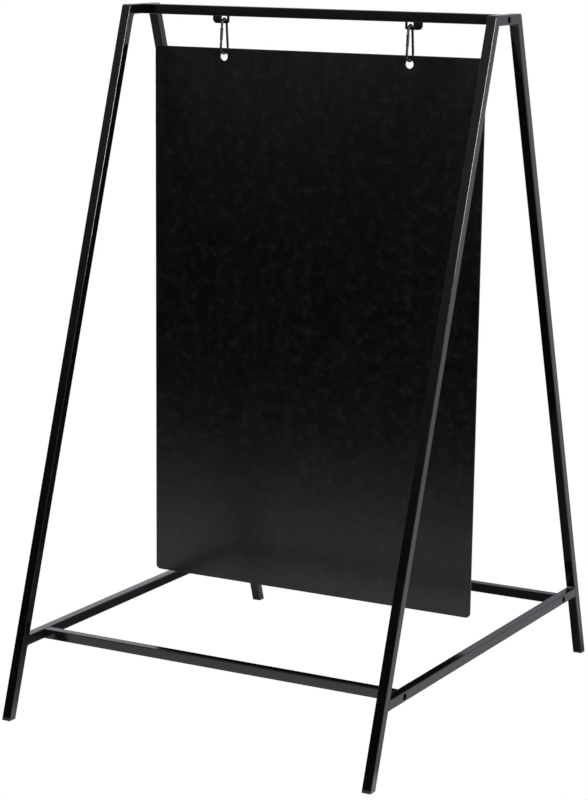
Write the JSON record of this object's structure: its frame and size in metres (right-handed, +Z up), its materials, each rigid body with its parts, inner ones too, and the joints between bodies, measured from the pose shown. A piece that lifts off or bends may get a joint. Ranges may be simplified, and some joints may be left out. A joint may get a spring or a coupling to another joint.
{
  "type": "sign stand",
  "caption": "Free-standing A-shaped stand of black square tube with a flat sign panel that hangs and swings on spring snap hooks.",
  "frame": {"origin": "on the floor under the middle of the stand", "axes": "+Z up, +X along the panel's width towards the right-hand end frame, the front of the stand faces -Y"},
  "size_m": [0.672, 0.844, 1.13],
  "materials": {
    "frame_coat": "black powder coat, semi-gloss",
    "cap_plastic": "moulded black plastic",
    "zinc_steel": "zinc plated, machined",
    "bolt_steel": "black oxide",
    "panel_sheet": "matte black writing surface",
    "hook_steel": "black zinc, satin",
    "spring_steel": "bright spring wire"
  },
  "bodies": {
    "stand": {"left_front_leg": "frame_coat", "left_rear_leg": "frame_coat", "left_header": "frame_coat", "left_cross_bar": "frame_coat", "right_front_leg": "frame_coat", "right_rear_leg": "frame_coat", "right_header": "frame_coat", "right_cross_bar": "frame_coat", "top_rail": "frame_coat", "front_stretcher": "frame_coat", "rear_stretcher": "frame_coat", "left_hanger_tab": "frame_coat", "right_hanger_tab": "frame_coat", "end_caps": "cap_plastic", "threaded_inserts": "zinc_steel", "frame_bolts": "bolt_steel"},
    "left_hook": {"left_hook_body": "hook_steel"},
    "right_hook": {"right_hook_body": "hook_steel"},
    "left_spring_gate": {"left_gate": "hook_steel", "left_gate_pins": "hook_steel", "left_gate_plunger": "spring_steel", "left_gate_spring": "spring_steel"},
    "right_spring_gate": {"right_gate": "hook_steel", "right_gate_pins": "hook_steel", "right_gate_plunger": "spring_steel", "right_gate_spring": "spring_steel"},
    "panel": {"sign_panel": "panel_sheet"}
  },
  "joints": [
    {"name": "left_hook_swing", "type": "hinge", "parent": "stand", "child": "left_hook", "pos_m": [-0.1685, 0, 1.1023], "axis": [1, 0, 0], "range_deg": [-45, 45]},
    {"name": "right_hook_swing", "type": "hinge", "parent": "stand", "child": "right_hook", "pos_m": [0.1685, 0, 1.1023], "axis": [1, 0, 0], "range_deg": [-45, 45]},
    {"name": "left_gate_hinge", "type": "hinge", "parent": "left_hook", "child": "left_spring_gate", "pos_m": [-0.1685, -0.00813, 1.0935], "axis": [1, 0, 0], "range_deg": [0, 30], "stiffness_Nm_per_rad": 0.05, "springref_deg": -17.19},
    {"name": "right_gate_hinge", "type": "hinge", "parent": "right_hook", "child": "right_spring_gate", "pos_m": [0.1685, -0.00813, 1.0935], "axis": [1, 0, 0], "range_deg": [0, 30], "stiffness_Nm_per_rad": 0.05, "springref_deg": -17.19},
    {"name": "panel_swing", "type": "hinge", "parent": "left_hook", "child": "panel", "pos_m": [-0.1685, 0, 1.0645], "axis": [1, 0, 0], "range_deg": [-30, 30]}
  ],
  "couplings": [
    {"joint": "right_hook_swing", "follows": "left_hook_swing", "ratio": 1}
  ]
}
